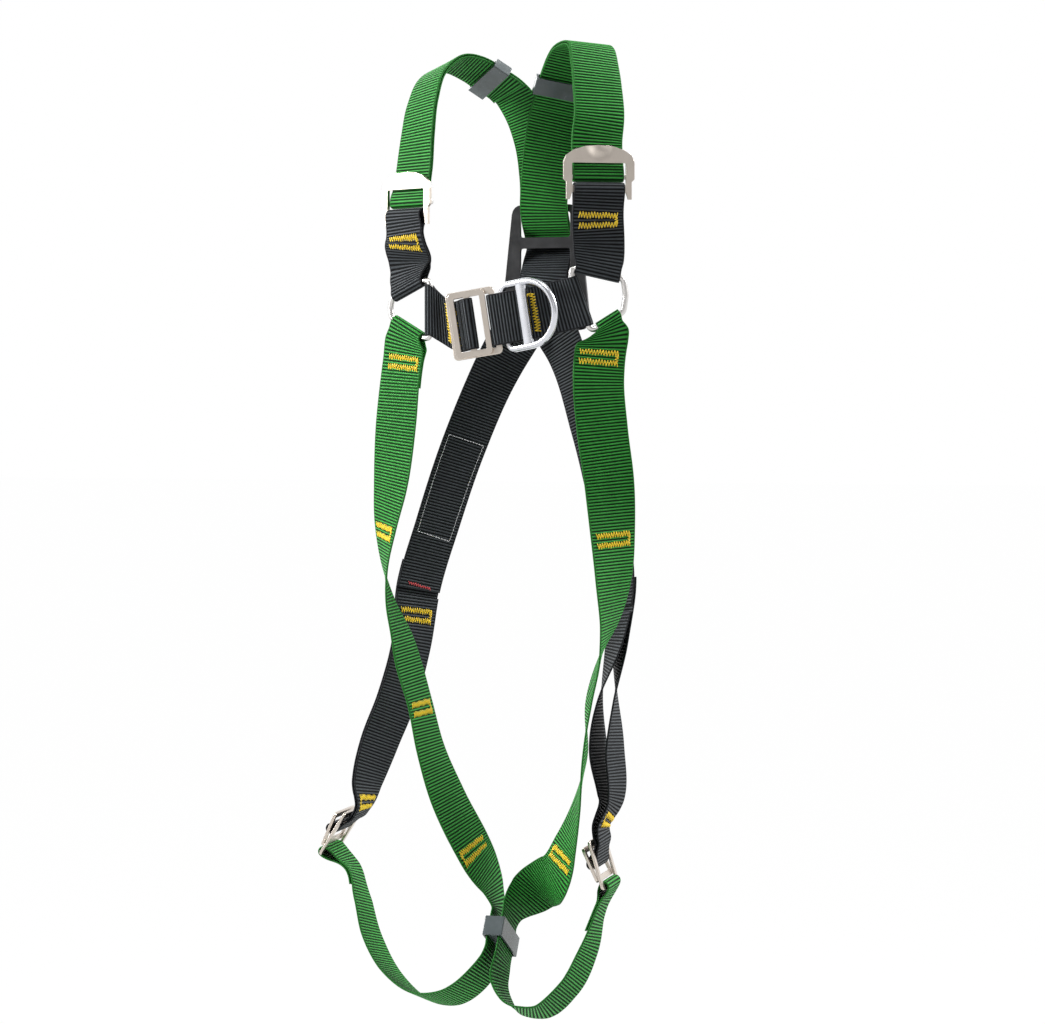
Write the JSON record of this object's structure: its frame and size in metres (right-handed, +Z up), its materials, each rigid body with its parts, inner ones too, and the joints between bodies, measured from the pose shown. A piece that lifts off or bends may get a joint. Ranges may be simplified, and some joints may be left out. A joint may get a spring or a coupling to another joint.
{
  "type": "full-body fall-arrest harness",
  "caption": "Full-body fall-arrest harness of green and black webbing with a back plate, back and chest attachment rings, shoulder adjusters and pass-through buckles.",
  "frame": {"origin": "centre of the back plate's wearer-side face, where the harness bears on the wearer's back", "axes": "+Z up the wearer's spine, -Y towards the wearer's chest, +X towards the wearer's left"},
  "size_m": [0.3044, 0.1608, 0.8658],
  "materials": {
    "green_webbing": "ribbed woven webbing",
    "black_webbing": "ribbed woven webbing",
    "steel": "plated, satin",
    "bright_steel": "plated, bright satin",
    "plate_plastic": "moulded, satin",
    "keeper_plastic": "moulded, satin"
  },
  "bodies": {
    "webbing": {"chest_buckle_catch": "steel", "chest_strap_left": "black_webbing", "chest_strap_right": "black_webbing", "dorsal_plate": "plate_plastic", "left_adjuster_frame": "steel", "left_front_strap": "green_webbing", "left_leg_buckle_catch": "steel", "left_rear_strap": "black_webbing", "left_shoulder_loop": "black_webbing", "left_shoulder_strap": "green_webbing", "left_side_ring": "steel", "left_thigh_strap": "black_webbing", "right_adjuster_frame": "steel", "right_front_strap": "green_webbing", "right_leg_buckle_catch": "steel", "right_rear_strap": "black_webbing", "right_shoulder_loop": "black_webbing", "right_shoulder_strap": "green_webbing", "right_side_ring": "steel", "right_thigh_strap": "black_webbing"},
    "front_d_ring": {"front_d_ring": "bright_steel"},
    "dorsal_d_ring": {"dorsal_d_ring": "steel"},
    "chest_buckle_tongue": {"chest_buckle_tongue": "steel"},
    "left_leg_buckle_tongue": {"left_leg_buckle_tongue": "steel"},
    "right_leg_buckle_tongue": {"right_leg_buckle_tongue": "steel"},
    "left_adjuster_bar": {"left_adjuster_bar": "steel"},
    "right_adjuster_bar": {"right_adjuster_bar": "steel"},
    "left_shoulder_keeper": {"left_shoulder_keeper": "keeper_plastic"},
    "right_shoulder_keeper": {"right_shoulder_keeper": "keeper_plastic"},
    "crotch_keeper": {"crotch_keeper": "keeper_plastic"}
  },
  "joints": [
    {"name": "front_ring_swing", "type": "hinge", "parent": "webbing", "child": "front_d_ring", "pos_m": [0.00211, -0.12, -0.05407], "axis": [0.1564, 0, -0.9877], "range_deg": [0, 110]},
    {"name": "dorsal_ring_swing", "type": "hinge", "parent": "webbing", "child": "dorsal_d_ring", "pos_m": [0, 0.0068, 0.0175], "axis": [1, 0, 0], "range_deg": [0, 170]},
    {"name": "chest_tongue_rock", "type": "hinge", "parent": "webbing", "child": "chest_buckle_tongue", "pos_m": [-0.029, -0.12508, -0.059], "axis": [0.1564, 0, -0.9877], "range_deg": [0, 10]},
    {"name": "left_leg_tongue_rock", "type": "hinge", "parent": "webbing", "child": "left_leg_buckle_tongue", "pos_m": [0.06814, -0.06025, -0.53549], "axis": [-0.0523, 0.9986, 0], "range_deg": [0, 10]},
    {"name": "right_leg_tongue_rock", "type": "hinge", "parent": "webbing", "child": "right_leg_buckle_tongue", "pos_m": [-0.17731, -0.06423, -0.51331], "axis": [-0.0523, 0.9986, 0], "range_deg": [0, 10]},
    {"name": "left_bar_slide", "type": "slide", "parent": "webbing", "child": "left_adjuster_bar", "axis": [-0.0815, 0.1533, 0.9848], "range_m": [0, 0.003]},
    {"name": "right_bar_slide", "type": "slide", "parent": "webbing", "child": "right_adjuster_bar", "axis": [0.0815, 0.1533, 0.9848], "range_m": [0, 0.003]},
    {"name": "left_keeper_slide", "type": "slide", "parent": "webbing", "child": "left_shoulder_keeper", "axis": [0.3795, -0.3838, 0.8418], "range_m": [-0.005, 0.005]},
    {"name": "right_keeper_slide", "type": "slide", "parent": "webbing", "child": "right_shoulder_keeper", "axis": [-0.693, -0.5008, 0.5186], "range_m": [-0.005, 0.005]},
    {"name": "crotch_keeper_slide", "type": "slide", "parent": "webbing", "child": "crotch_keeper", "axis": [0, -0.5299, -0.848], "range_m": [-0.004, 0.006]}
  ]
}
